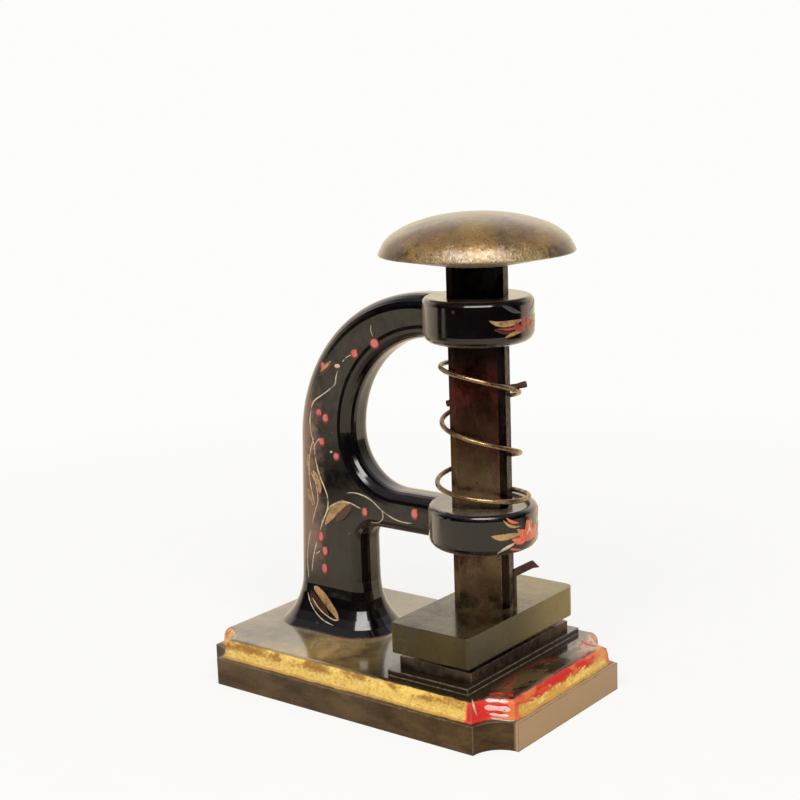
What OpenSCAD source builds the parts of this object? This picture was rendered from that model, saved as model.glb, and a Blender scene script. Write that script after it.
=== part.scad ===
// Hand-press check writer: a knob on a square plunger drives a toothed die into a pitted one.
// Millimetres, +Z up. The origin is the middle of the base's underside, +X runs from the column to the plunger.

/* [Base] */
// Length of the base along X
base_len = 135; // [128:1:150]
// Width of the base along Y
base_wid = 85; // [80:1:100]
// Radius of the hollow notch at each corner of the base
notch_r = 10.6; // [6:0.2:13]
// Height of the plain vertical edge under the moulding
slab_h = 9.8; // [8.5:0.1:11]
// Height of the base's flat top
base_h = 16.6; // [15:0.1:20]
// How far the moulding steps in between the edge and the top
mould_inset = 5.2; // [3:0.1:6]
// Width of the base's outer wall round the hollow underside
base_wall = 7; // [5.5:0.1:10]
// Depth of the hollow underside
hollow_h = 8.4; // [5:0.1:8.6]

/* [Frame] */
// Distance from the middle of the base to the plunger's axis
plunger_x = 33.3; // [30:0.1:36]
// Thickness of the frame along Y
frame_t = 14; // [12:0.5:16]
// Radius of the frame's rounded edges
edge_r = 5; // [2:0.1:5.6]
// Depth of the throat, from the plunger's axis to the spine
throat_depth = 53.3; // [50:0.1:56]
// Width of the spine behind the throat
spine_w = 24.5; // [20:0.1:27]
// Height at which the throat is deepest
throat_mid = 91; // [88:0.5:95]
// Height at which the outer curve of the arch starts
arch_start = 85; // [80:0.5:88]
// Lean of the column's outer side, in degrees
column_lean = 2.9; // [0:0.1:4]
// Distance from the plunger's axis to the column under the lower arm
window_depth = 49.1; // [46:0.1:50]
// Radius of the corner between the column and the lower arm's underside
window_r = 6; // [3:0.1:8]
// Height of the flare at the column's foot
foot_flare_h = 18.4; // [12:0.1:20]
// Radius of the flare at the column's foot
foot_flare_r = 24; // [21:0.5:30]

/* [Bosses] */
// Radius of the two round bosses that guide the plunger
boss_r = 18.9; // [17.5:0.1:20]
// Height of the lower boss's underside
lower_boss_z = 56.9; // [55:0.1:60]
// Height of the lower boss
lower_boss_h = 14.7; // [12:0.1:15.5]
// Height of the upper boss's underside
upper_boss_z = 127.9; // [127.5:0.1:131]
// Height of the upper boss
upper_boss_h = 15.4; // [12:0.1:18]
// Rounding of the bosses' upper edges
boss_top_r = 2; // [1:0.1:3]
// Rounding of the bosses' lower edges
boss_foot_r = 3.6; // [1:0.1:5]

/* [Plunger] */
// Width of the square plunger bar
bar_w = 19; // [18:0.1:20]
// Width of the flats on the bar's corners, measured along each face
bar_flat = 2.3; // [2:0.1:3]
// Turn of the bar about its own axis, in degrees
bar_turn = 27.4; // [20:0.1:34]
// Running clearance round the bar in the bosses
bar_clear = 0.1; // [0.05:0.01:0.2]
// Height of the bar's top, where the knob sits
bar_top = 154; // [150:0.1:160]
// Diameter of the pin that rests on the spring
pin_d = 2.3; // [1.5:0.1:3]
// Length of that pin
pin_len = 28.4; // [27:0.1:30]
// How far the pin is pushed through towards its high end
pin_shift = 2.2; // [0:0.1:3]
// Slope of the pin, which follows the spring's coils, in degrees
pin_slope = 14.2; // [8:0.1:16]

/* [Knob] */
// Radius of the knob's rim
knob_r = 33.1; // [28:0.1:36]
// Height of the knob from its seat to its crown
knob_h = 17.2; // [14.5:0.1:20]
// Height of the rim above the knob's seat
knob_rim_h = 4.1; // [3:0.1:5]
// Radius of the rounded rim
knob_edge_r = 0.6; // [0.4:0.1:1.2]
// Radius of the flat seat under the knob
knob_seat_r = 13.6; // [13:0.1:16]
// Diameter of the stud that holds the knob
stud_d = 9.5; // [6:0.1:11]
// Length of that stud in the bar
stud_bar_len = 14; // [8:0.5:20]
// Length of that stud in the knob
stud_knob_len = 9; // [6:0.5:10]

/* [Spring] */
// Diameter of the spring's wire
wire_d = 1.7; // [1.2:0.1:2]
// Mean radius of the spring's coils
coil_r = 13.2; // [13:0.1:14.5]
// Mean radius of the coil that sits on the lower boss
coil_foot_r = 15.9; // [14.5:0.1:16]
// Number of coils
coils = 3; // [3:1:3]
// Height from the seat to the middle of the wire at the free end
spring_h = 47.8; // [44:0.1:50]
// Share of the spring's length that is lost to the level coil on the boss
spring_seat = 0.185; // [0.14:0.005:0.22]
// Share of the spring's length that is lost to the level free end
spring_end = 0.07; // [0.03:0.01:0.12]
// How far the coils tip down on the pin's side
coil_tilt = 0.9; // [0:0.1:1.2]

/* [Presser] */
// Width of the presser plate along X
plate_w = 31.7; // [29:0.1:34]
// Length of the presser plate along Y
plate_len = 66; // [63:0.1:69]
// Thickness of the presser plate
plate_t = 10.6; // [9.5:0.1:12]
// Height of the presser plate's underside at rest
plate_z = 25.5; // [25:0.1:27]
// How far the plate's middle lies in front of the plunger's axis
plate_off_x = 1.6; // [0:0.1:2]
// How far the plate's middle lies beside the plunger's axis
plate_off_y = -2.3; // [-2.5:0.1:0]
// Rounding of the plate's near corners
plate_corner_r = 0.9; // [0.3:0.1:2]
// Rounding of the plate's worn far corner
plate_worn_r = 3.2; // [0.5:0.1:4]

/* [Dies] */
// Pitch of the die's points
tooth_pitch = 3.2; // [2.6:0.1:3.3]
// Width of the flat on each point
tooth_flat = 0.4; // [0.2:0.1:0.6]
// Number of points across the dies
teeth_x = 5; // [3:1:5]
// Number of points along the dies
teeth_y = 14; // [10:1:14]
// Flat land beside the points, on each long side of the upper die
upper_side = 2; // [1:0.1:3]
// Flat land past the points, at each end of the upper die
upper_land = 5.6; // [5.2:0.1:6]
// Thickness of the upper die's body
upper_die_t = 4; // [3.5:0.1:4.2]
// Flat land beside the pits, on each long side of the lower die
lower_side = 6.8; // [5.5:0.1:7.5]
// Flat land past the pits, at each end of the lower die
lower_land = 7.7; // [6.6:0.1:8.4]
// Thickness of the lower die
lower_die_t = 3.7; // [3.4:0.1:4]
// Height of the pad under the lower die
pad_h = 2; // [1:0.1:2.2]
// How far the pad reaches past the long sides of the lower die
pad_margin_x = 1.8; // [0.5:0.1:2]
// How far the pad reaches past the ends of the lower die
pad_margin_y = 4.7; // [1:0.1:5]
// Play between a point and its pit
pit_clear = 0.12; // [0.05:0.01:0.2]

/* [Guide strip] */
// Thickness of the guide strip
strip_t = 0.9; // [0.8:0.1:1.4]
// Width of its upright leg
strip_leg_w = 1.2; // [1:0.1:2]
// Height of its leg and arm above the presser plate
strip_h = 13; // [10:0.1:15]
// Length of its arm
strip_arm_len = 15.8; // [12:0.1:18]
// Width of its arm
strip_arm_w = 2.7; // [2:0.1:3.5]
// How far the leg stands out past half the bar's width
strip_gap = 1.7; // [1.6:0.1:2.2]
// How far the leg stands behind the plunger's axis
strip_back = 0.9; // [0.6:0.1:2]

/* [Fasteners] */
// Diameter of the two screws that hold the frame on the base
frame_screw_d = 6.2; // [5:0.1:7]
// Distance between those screws
frame_screw_pitch = 17; // [15:0.1:18.5]
// How far those screws reach into the column
frame_screw_reach = 14; // [10:0.5:16]
// Diameter of the small screws that hold the dies
die_screw_d = 2.6; // [2:0.1:2.8]
// Diameter of the screw that holds the presser plate
presser_screw_d = 4.8; // [4:0.1:5.4]
// Diameter of the dowels
dowel_d = 2.4; // [2:0.1:2.6]
// Clearance round every screw and dowel in its hole
fit_clear = 0.05; // [0.02:0.01:0.08]

/* [Hidden] */
$fn = 48;

// A cut runs past the face that it leaves by this much, and solids that only touch lap by the other.
past = 1;
lap = 0.01;
arc_steps = 6;

// Frame, worked out from the throat, the bosses and the base.
spine_in = plunger_x - throat_depth;
spine_out = spine_in - spine_w;
lower_arm_top = lower_boss_z + lower_boss_h;
upper_arm_top = upper_boss_z + upper_boss_h;
throat_top_r = upper_boss_z - throat_mid;
throat_foot_r = throat_mid - lower_arm_top;
arch_r = upper_arm_top - arch_start;
column_in = plunger_x - window_depth;
column_out = spine_out - (arch_start - base_h) * tan(column_lean);
flare_out = spine_out - (arch_start - base_h - foot_flare_h) * tan(column_lean);
flare_reach = foot_flare_r - sqrt(pow(foot_flare_r, 2) - pow(foot_flare_h, 2));
flare_turn = asin(foot_flare_h / foot_flare_r);

// Plunger and presser.
bar_foot = plate_z + plate_t;
plate_x = plunger_x + plate_off_x;
pocket_top = plate_z + upper_die_t;
stud_top = bar_top + stud_knob_len;

// Dies: points on the upper one drop into pits in the lower one.
tooth_h = (tooth_pitch - tooth_flat) / 2;
pit_edge = 0.2;
pad_top = base_h + pad_h;
lower_die_top = pad_top + lower_die_t;
field_w = teeth_x * tooth_pitch;
field_len = teeth_y * tooth_pitch;
upper_die_w = field_w + 2 * upper_side;
upper_die_len = field_len + 2 * upper_land;
lower_die_w = field_w + 2 * lower_side;
lower_die_len = field_len + 2 * lower_land;
upper_land_y = (field_len + upper_land) / 2;
lower_land_y = (field_len + lower_land) / 2;
upper_dowel_in = 3.4;
lower_dowel_in = 4.8;
upper_dowel_x = upper_die_w / 2 - upper_dowel_in;
lower_dowel_x = lower_die_w / 2 - lower_dowel_in;

// Fasteners.
cone_head = 1.9;
slot_wide = 0.22;
slot_deep = 0.25;
die_screw_len = 8;
head_h = 0.5 * frame_screw_d;
head_r = 0.8 * frame_screw_d;
washer_t = 1.2;
washer_r = 1.1 * frame_screw_d;
screw_mid = (column_in + flare_out) / 2;
foot_dowel_x = 3.6;
foot_dowel_depth = 5;
presser_screw_reach = 14;
presser_dowel_r = 6.4;
presser_dowel_depth = 5;

// Guide strip: its leg stands in a slot in the plate, beside the turned bar, and its arm ends in a drooping point.
strip_depth = 4;
strip_x = plunger_x + bar_w / 2 + strip_gap + strip_t / 2;
strip_y = strip_back + strip_leg_w / 2;
strip_point = 1.5 * strip_arm_w;
strip_droop = 0.3 * strip_arm_w;

// Spring: rings lie at the bar's corners and faces, so the straight stretches between them clear the bar.
rings = 8;
wire_sides = 6;
ring_out = 2 / (1 + cos(180 / rings));
steps = coils * rings;
seat_z = lower_arm_top + wire_d / 2;
flare_from = 0.36;
flare_over = 0.1;
pin_step = steps - 5;
pin_lift = (wire_d + pin_d) / 2 / cos(pin_slope) + fit_clear;

// ---------- outlines ----------

function arc(cx, cy, rx, ry, from, to) = [
    for (i = [0 : arc_steps])
        let (a = from + (to - from) * i / arc_steps)
        [cx + rx * cos(a), cy + ry * sin(a)]
];

// Rectangle with a rounding of its own at each corner: right-far, left-far, left-near, right-near.
function rounded(w, d, r) = concat(
    arc(w / 2 - r[0], d / 2 - r[0], r[0], r[0], 0, 90),
    arc(r[1] - w / 2, d / 2 - r[1], r[1], r[1], 90, 180),
    arc(r[2] - w / 2, r[2] - d / 2, r[2], r[2], 180, 270),
    arc(w / 2 - r[3], r[3] - d / 2, r[3], r[3], 270, 360)
);

// Section of a plate whose edge at distance reach is rounded on both faces.
function round_edge(reach) = concat(
    [[0, -frame_t / 2]],
    arc(reach - edge_r, edge_r - frame_t / 2, edge_r, edge_r, -90, 0),
    arc(reach - edge_r, frame_t / 2 - edge_r, edge_r, edge_r, 0, 90),
    [[0, frame_t / 2]]
);

// Section of an opening that leaves the same rounded edge round it.
function flared_edge(reach) = concat(
    [[0, -frame_t / 2 - past], [reach + edge_r, -frame_t / 2 - past]],
    arc(reach + edge_r, edge_r - frame_t / 2, edge_r, edge_r, 270, 180),
    arc(reach + edge_r, frame_t / 2 - edge_r, edge_r, edge_r, 180, 90),
    [[reach + edge_r, frame_t / 2 + past], [0, frame_t / 2 + past]]
);

// Base moulding, as [inset, height]: a ledge, a hollow and a round that ends level with the top.
mould_rise = base_h - slab_h;
mould_ledge = 0.12 * mould_inset;
mould_waist = 0.46 * mould_inset;
mould_bend = slab_h + 0.41 * mould_rise;
moulding = concat(
    [[0, 0], [0, slab_h]],
    arc(mould_ledge, mould_bend, mould_waist - mould_ledge, mould_bend - slab_h, -90, 0),
    arc(mould_inset, mould_bend, mould_inset - mould_waist, base_h - mould_bend, 180, 90)
);

// ---------- shared solids ----------

// Turns a section given as [distance, Y] about a line along Y, through one quarter that starts at turn.
module quarter(x, z, turn) {
    translate([x, 0, z])
        rotate([90, 0, 0])
            rotate([0, 0, turn])
                rotate_extrude(angle = 90)
                    children();
}

// Runs a section given as [height, Y] along X.
module along_x(x0, x1) {
    translate([x0, 0, 0])
        rotate([0, -90, 180])
            linear_extrude(x1 - x0)
                children();
}

module hole(x, y, z0, z1, d) {
    translate([x, y, z0])
        cylinder(h = z1 - z0, d = d + 2 * fit_clear);
}

module dowel(x, y, z0, z1) {
    translate([x, y, z0])
        cylinder(h = z1 - z0, d = dowel_d);
}

// Countersunk slotted screw with its head at z, pointing up for up = 1 and down for up = -1.
module sunk_screw(x, y, z, d, len, up) {
    translate([x, y, z])
        rotate([up > 0 ? 0 : 180, 0, 0])
            difference() {
                sunk_form(d, len, 0);
                cube([slot_wide * d, 3 * d, 2 * slot_deep * d], center = true);
            }
}

module sunk_form(d, len, play) {
    head = cone_head * d / 2;
    rotate_extrude()
        polygon([
            [0, 0], [head + play, 0], [d / 2 + play, head - d / 2 + play],
            [d / 2 + play, len + play], [0, len + play]
        ]);
}

module sunk_hole(x, y, z, d, len, up) {
    translate([x, y, z])
        rotate([up > 0 ? 0 : 180, 0, 0])
            sunk_form(d, len, fit_clear);
}

// Round boss with its two edges rounded.
module boss(z, h) {
    translate([plunger_x, 0, z])
        rotate_extrude($fn = 96)
            polygon(concat(
                [[0, 0]],
                arc(boss_r - boss_foot_r, boss_foot_r, boss_foot_r, boss_foot_r, -90, 0),
                arc(boss_r - boss_top_r, h - boss_top_r, boss_top_r, boss_top_r, 0, 90),
                [[0, h]]
            ));
}

// Square prism with flats on its corners, turned as the plunger is.
module bar_form(z0, z1, play) {
    half = bar_w / 2 + play;
    inner = half - bar_flat;
    translate([plunger_x, 0, z0])
        rotate([0, 0, bar_turn])
            linear_extrude(z1 - z0)
                polygon([
                    [half, -inner], [half, inner], [inner, half], [-inner, half],
                    [-half, inner], [-half, -inner], [-inner, -half], [inner, -half]
                ]);
}

// ---------- base ----------

module moulded_bar(len, wid) {
    right = [for (p = moulding) [p[1], wid / 2 - p[0]]];
    left = [for (i = [len(moulding) - 1 : -1 : 0]) [moulding[i][1], moulding[i][0] - wid / 2]];
    along_x(-len / 2, len / 2)
        polygon(concat(right, left));
}

module corners(dx, dy) {
    for (sx = [-1, 1])
        for (sy = [-1, 1])
            translate([sx * dx, sy * dy, 0])
                children();
}

module notch() {
    rotate_extrude()
        polygon(concat(
            [[0, -past], [notch_r, -past]],
            [for (p = moulding) [notch_r + p[0], p[1]]],
            [[notch_r + mould_inset, base_h + past], [0, base_h + past]]
        ));
}

module hollow() {
    difference() {
        translate([0, 0, (hollow_h - past) / 2])
            cube([base_len - 2 * base_wall, base_wid - 2 * base_wall, hollow_h + past], center = true);
        corners(base_len / 2, base_wid / 2)
            translate([0, 0, -2 * past])
                cylinder(h = hollow_h + 3 * past, r = notch_r + base_wall);
    }
}

module frame_screw_places() {
    for (side = [-1, 1])
        translate([screw_mid + side * frame_screw_pitch / 2, 0, 0])
            children();
}

module base() {
    color("#1c1a1b")
        difference() {
            union() {
                intersection() {
                    moulded_bar(base_len, base_wid);
                    rotate([0, 0, 90])
                        moulded_bar(base_wid, base_len);
                }
                translate([plunger_x, 0, base_h + pad_h / 2 - past / 2])
                    cube([
                        lower_die_w + 2 * pad_margin_x,
                        lower_die_len + 2 * pad_margin_y,
                        pad_h + past
                    ], center = true);
            }
            corners(base_len / 2, base_wid / 2)
                notch();
            hollow();
            frame_screw_places()
                hole(0, 0, hollow_h - past, base_h + past, frame_screw_d);
            for (side = [-1, 1])
                hole(screw_mid + side * foot_dowel_x, 0, base_h - foot_dowel_depth, base_h + past, dowel_d);
            lower_die_holes(pad_top + past);
        }
}

// ---------- frame ----------

// The whole side of the frame with its outer edge rounded, before the openings are cut.
module frame_slab() {
    quarter(spine_out + arch_r, arch_start, 90)
        polygon(round_edge(arch_r));
    translate([0, 0, arch_start])
        along_x(spine_out + arch_r, plunger_x)
            polygon(round_edge(arch_r));
    intersection() {
        translate([spine_out, 0, arch_start])
            rotate([0, column_lean, 0])
                translate([0, -frame_t / 2, -arch_start])
                    leaning_edge();
        translate([column_out - past, -frame_t, base_h])
            cube([spine_w, 2 * frame_t, arch_start]);
    }
    translate([spine_out + spine_w / 2, -frame_t / 2, base_h])
        cube([plunger_x - spine_out - spine_w / 2, frame_t, arch_start - base_h]);
}

module leaning_edge() {
    translate([spine_w / 2, frame_t / 2, 0])
        linear_extrude(arch_start + 3 * past)
            polygon(rounded(spine_w, frame_t, [lap, edge_r, edge_r, lap]));
}

module throat() {
    reach = plunger_x + boss_r + past;
    top_x = spine_in + throat_top_r;
    foot_x = spine_in + throat_foot_r;
    quarter(top_x, throat_mid, 90)
        polygon(flared_edge(throat_top_r));
    quarter(foot_x, throat_mid, 180)
        polygon(flared_edge(throat_foot_r));
    translate([0, 0, throat_mid])
        along_x(top_x, reach)
            polygon(flared_edge(throat_top_r));
    translate([0, 0, throat_mid])
        mirror([0, 0, 1])
            along_x(foot_x, reach)
                polygon(flared_edge(throat_foot_r));
}

module window() {
    reach = plunger_x + boss_r + past;
    mid_x = column_in + window_r;
    mid_z = lower_boss_z - window_r;
    quarter(mid_x, mid_z, 90)
        polygon(flared_edge(window_r));
    translate([0, 0, mid_z])
        along_x(mid_x, reach)
            polygon(flared_edge(window_r));
    translate([mid_x, 0, base_h - past])
        rotate([0, 0, 180])
            linear_extrude(mid_z - base_h + past)
                polygon(flared_edge(window_r));
    translate([mid_x, -frame_t / 2 - past, base_h - past])
        cube([reach - mid_x, frame_t + 2 * past, mid_z - base_h + past]);
}

// Hollow-curved flare where the column meets the base, as [distance from the wall, height].
function flare_section(wall) = concat(
    [[0, 0]],
    arc(wall + foot_flare_r, foot_flare_h, foot_flare_r, foot_flare_r, 180 + flare_turn, 180),
    [[0, foot_flare_h]]
);

module foot_flare() {
    mid = (flare_out + column_in) / 2;
    flat_x = (column_in - flare_out) / 2 - edge_r;
    flat_y = frame_t / 2 - edge_r;
    translate([mid, 0, base_h]) {
        for (side = [0, 1])
            mirror([side, 0, 0]) {
                for (end = [0, 1])
                    mirror([0, end, 0])
                        translate([flat_x, flat_y, 0])
                            rotate_extrude(angle = 90)
                                polygon(flare_section(edge_r));
                translate([flat_x, flat_y, 0])
                    rotate([90, 0, 0])
                        linear_extrude(2 * flat_y)
                            polygon(flare_section(edge_r));
            }
        for (side = [0, 1])
            mirror([0, side, 0])
                translate([-flat_x, flat_y, 0])
                    rotate([90, 0, 90])
                        linear_extrude(2 * flat_x)
                            polygon(flare_section(edge_r));
    }
}

module frame() {
    color("#17161a")
        difference() {
            union() {
                difference() {
                    frame_slab();
                    throat();
                    window();
                }
                foot_flare();
                boss(lower_boss_z, lower_boss_h);
                boss(upper_boss_z, upper_boss_h);
            }
            bar_form(lower_boss_z - past, upper_arm_top + past, bar_clear);
            frame_screw_places()
                hole(0, 0, base_h - past, base_h + frame_screw_reach + past, frame_screw_d);
            for (side = [-1, 1])
                hole(screw_mid + side * foot_dowel_x, 0, base_h - past, base_h + foot_dowel_depth, dowel_d);
        }
}

// Slotted cheese-head screws that come up from the hollow underside.
module frame_screws() {
    head_z = hollow_h - washer_t - head_h;
    color("#4b4640")
        frame_screw_places()
            difference() {
                translate([0, 0, head_z]) {
                    cylinder(h = head_h, r = head_r);
                    cylinder(h = base_h + frame_screw_reach - head_z, d = frame_screw_d);
                }
                translate([0, 0, head_z])
                    cube([slot_wide * frame_screw_d, 3 * head_r, head_h], center = true);
            }
}

module frame_washers() {
    color("#57514a")
        frame_screw_places()
            translate([0, 0, hollow_h - washer_t])
                difference() {
                    cylinder(h = washer_t, r = washer_r);
                    hole(0, 0, -past, washer_t + past, frame_screw_d);
                }
}

module foot_dowels() {
    color("#8a8278")
        for (side = [-1, 1])
            dowel(screw_mid + side * foot_dowel_x, 0, base_h - foot_dowel_depth, base_h + foot_dowel_depth);
}

// ---------- dies ----------

// Block with V-grooves both ways, which leaves rows of pyramids pointing down from z = 0.
module points(play) {
    groove = tooth_pitch - tooth_flat - 2 * play;
    difference() {
        translate([-field_w / 2 - play, -field_len / 2 - play, -tooth_h])
            cube([field_w + 2 * play, field_len + 2 * play, tooth_h]);
        for (i = [0 : teeth_x])
            translate([(i - teeth_x / 2) * tooth_pitch, 0, 0])
                rotate([90, 0, 0])
                    groove_form(groove, field_len);
        for (j = [0 : teeth_y])
            translate([0, (j - teeth_y / 2) * tooth_pitch, 0])
                rotate([90, 0, 90])
                    groove_form(groove, field_w);
    }
}

module groove_form(width, len) {
    slope = width / 2 / tooth_h;
    translate([0, 0, -len / 2 - past])
        linear_extrude(len + 2 * past)
            polygon([
                [0, 0],
                [-slope * (tooth_h + past), -tooth_h - past],
                [slope * (tooth_h + past), -tooth_h - past]
            ]);
}

module lower_die_holes(top) {
    for (end = [-1, 1]) {
        translate([plunger_x, end * lower_land_y, 0])
            sunk_hole(0, 0, lower_die_top, die_screw_d, die_screw_len, -1);
        hole(plunger_x + end * lower_dowel_x, end * lower_land_y, base_h - pad_h, top, dowel_d);
    }
}

module lower_die() {
    color("#3b3832")
        difference() {
            translate([plunger_x, 0, pad_top + lower_die_t / 2])
                cube([lower_die_w, lower_die_len, lower_die_t], center = true);
            translate([plunger_x, 0, lower_die_top - pit_edge])
                union() {
                    points(pit_clear);
                    translate([-field_w / 2 - pit_clear, -field_len / 2 - pit_clear, -lap])
                        cube([
                            field_w + 2 * pit_clear,
                            field_len + 2 * pit_clear,
                            pit_edge + past
                        ]);
                }
            lower_die_holes(lower_die_top + past);
        }
}

module lower_die_screws() {
    color("#6d665c")
        for (end = [-1, 1])
            sunk_screw(plunger_x, end * lower_land_y, lower_die_top, die_screw_d, die_screw_len, -1);
}

module lower_die_dowels() {
    color("#8a8278")
        for (end = [-1, 1])
            dowel(plunger_x + end * lower_dowel_x, end * lower_land_y, base_h - pad_h, lower_die_top);
}

module upper_die_holes() {
    for (end = [-1, 1]) {
        sunk_hole(plunger_x, end * upper_land_y, plate_z, die_screw_d, die_screw_len, 1);
        hole(plunger_x - end * upper_dowel_x, end * upper_land_y, plate_z - past, pocket_top + pad_h, dowel_d);
    }
}

module upper_die() {
    color("#45413a")
        difference() {
            union() {
                translate([plunger_x, 0, plate_z + upper_die_t / 2])
                    cube([upper_die_w, upper_die_len, upper_die_t], center = true);
                translate([plunger_x, 0, plate_z])
                    points(0);
            }
            upper_die_holes();
        }
}

module upper_die_screws() {
    color("#6d665c")
        for (end = [-1, 1])
            sunk_screw(plunger_x, end * upper_land_y, plate_z, die_screw_d, die_screw_len, 1);
}

module upper_die_dowels() {
    color("#8a8278")
        for (end = [-1, 1])
            dowel(plunger_x - end * upper_dowel_x, end * upper_land_y, plate_z, pocket_top + pad_h);
}

// ---------- presser ----------

module presser_plate() {
    near = plate_corner_r;
    color("#6f6a50")
        difference() {
            translate([plate_x, plate_off_y, plate_z])
                linear_extrude(plate_t)
                    polygon(rounded(plate_w, plate_len, [plate_worn_r, near, near, near]));
            translate([plunger_x, 0, plate_z + (upper_die_t - past) / 2])
                cube([
                    upper_die_w + 2 * fit_clear,
                    upper_die_len + 2 * fit_clear,
                    upper_die_t + past
                ], center = true);
            upper_die_holes();
            sunk_hole(plunger_x, 0, pocket_top, presser_screw_d, plate_t, 1);
            presser_dowel_places()
                hole(0, 0, bar_foot - presser_dowel_depth, bar_foot + past, dowel_d);
            translate([strip_x, strip_y, bar_foot + (past - strip_depth) / 2])
                cube([
                    strip_t + 2 * fit_clear,
                    strip_leg_w + 2 * fit_clear,
                    strip_depth + past
                ], center = true);
        }
}

module presser_dowel_places() {
    for (side = [-1, 1])
        translate([plunger_x, 0, 0])
            rotate([0, 0, bar_turn + 45])
                translate([side * presser_dowel_r, 0, 0])
                    children();
}

module presser_screw() {
    reach = bar_foot - pocket_top + presser_screw_reach;
    color("#5d574e")
        sunk_screw(plunger_x, 0, pocket_top, presser_screw_d, reach, 1);
}

module presser_dowels() {
    color("#8a8278")
        presser_dowel_places()
            dowel(0, 0, bar_foot - presser_dowel_depth, bar_foot + presser_dowel_depth);
}

// Flat strip cut to an L.
module guide_strip() {
    low = bar_foot - strip_depth;
    high = bar_foot + strip_h;
    under = high - strip_arm_w;
    far = strip_back + strip_arm_len;
    color("#3a241c")
        translate([strip_x - strip_t / 2, 0, 0])
            rotate([90, 0, 90])
                linear_extrude(strip_t)
                    polygon([
                        [strip_back, low], [strip_back + strip_leg_w, low], [strip_back + strip_leg_w, under],
                        [far - strip_point, under], [far, under - strip_droop],
                        [far - strip_point, high], [strip_back, high]
                    ]);
}

// ---------- plunger ----------

// The sloping pin's high end lies on the coil, on the side that the turned bar shows to +X.
pin_z = coil_z(pin_step) + pin_lift - ring_out * coil_r * tan(pin_slope);

module pin_place() {
    translate([plunger_x, 0, pin_z])
        rotate([0, 0, bar_turn])
            rotate([0, 90 - pin_slope, 0])
                children();
}

module plunger_bar() {
    color("#3a2a24")
        difference() {
            bar_form(bar_foot, bar_top, 0);
            pin_place()
                cylinder(h = 3 * bar_w, d = pin_d + 2 * fit_clear, center = true);
            hole(plunger_x, 0, bar_top - stud_bar_len, bar_top + past, stud_d);
            hole(plunger_x, 0, bar_foot - past, bar_foot + presser_screw_reach + past, presser_screw_d);
            presser_dowel_places()
                hole(0, 0, bar_foot - past, bar_foot + presser_dowel_depth, dowel_d);
        }
}

module spring_pin() {
    color("#4a2c20")
        pin_place()
            translate([0, 0, pin_shift])
                cylinder(h = pin_len, d = pin_d, center = true);
}

module knob() {
    dome = knob_h - knob_rim_h;
    rim = knob_r - knob_edge_r;
    color("#5b5342")
        translate([plunger_x, 0, bar_top])
            difference() {
                rotate_extrude($fn = 120)
                    polygon(concat(
                        [[0, 0], [knob_seat_r, 0]],
                        arc(rim, knob_rim_h, knob_edge_r, knob_edge_r, -80, 0),
                        arc(0, knob_rim_h, rim, dome, 10, 90)
                    ));
                hole(0, 0, -past, stud_knob_len, stud_d);
            }
}

module knob_stud() {
    color("#7d766c")
        translate([plunger_x, 0, bar_top - stud_bar_len])
            cylinder(h = stud_top - bar_top + stud_bar_len, d = stud_d);
}

// ---------- spring ----------

// Share of the climb at a share of the length: level on the boss, an even pitch, and level at the free end.
function climb(u) =
    let (
        foot = u < 2 * spring_seat ? u * u / (4 * spring_seat) : u - spring_seat,
        top = pow(max(0, u - 1 + 2 * spring_end), 2) / (4 * spring_end)
    )
    (foot - top) / (1 - spring_seat - spring_end);

function coil_z(i) =
    let (tip = coil_tilt * cos(coil_turn(i) - bar_turn + 2.5 * 360 / rings))
    seat_z + (spring_h - wire_d / 2) * climb(i / steps) + tip * min(1, i / steps / (2 * spring_seat));

function coil_radius(i) =
    let (open = max(0, min(1, (flare_from - i / steps) / flare_over)))
    ring_out * coil_r + (coil_foot_r - coil_r) * open;

// The coils are wound left-handed: the angle falls as the wire climbs. The pin's high end lies over one ring.
function coil_turn(i) = bar_turn - 360 / rings * (i - pin_step);

function coil_point(i) = [
    plunger_x + coil_radius(i) * cos(coil_turn(i)),
    coil_radius(i) * sin(coil_turn(i)),
    coil_z(i)
];

function wire_ring(i) = [
    for (k = [0 : wire_sides - 1])
        let (a = 360 / wire_sides * (k + 0.5), out = wire_d / 2 * cos(a), up = wire_d / 2 * sin(a))
        coil_point(i) + [out * cos(coil_turn(i)), out * sin(coil_turn(i)), up]
];

module spring() {
    far = wire_sides * steps;
    points = [for (i = [0 : steps]) each wire_ring(i)];
    walls = [
        for (i = [0 : steps - 1])
            for (k = [0 : wire_sides - 1])
                let (a = i * wire_sides + k, b = i * wire_sides + (k + 1) % wire_sides)
                each [[a, b, b + wire_sides], [a, b + wire_sides, a + wire_sides]]
    ];
    ends = [
        for (k = [1 : wire_sides - 2])
            each [[0, k + 1, k], [far, far + k, far + k + 1]]
    ];
    color("#a5835a")
        polyhedron(points, concat(walls, ends));
}

// Least gap between two coils, measured from ring to ring.
spring_gap = min([
    for (i = [0 : steps])
        for (j = [i + rings / 2 : steps])
            norm(coil_point(i) - coil_point(j)) - wire_d
]);
echo(spring_gap = spring_gap);

base();
frame();
frame_screws();
frame_washers();
foot_dowels();
lower_die();
lower_die_screws();
lower_die_dowels();
spring();
plunger_bar();
spring_pin();
knob();
knob_stud();
presser_plate();
presser_screw();
presser_dowels();
upper_die();
upper_die_screws();
upper_die_dowels();
guide_strip();
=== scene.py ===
import math
import bmesh
import bpy
import numpy as np
from mathutils import Matrix, Vector
from mathutils.bvhtree import BVHTree


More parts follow.
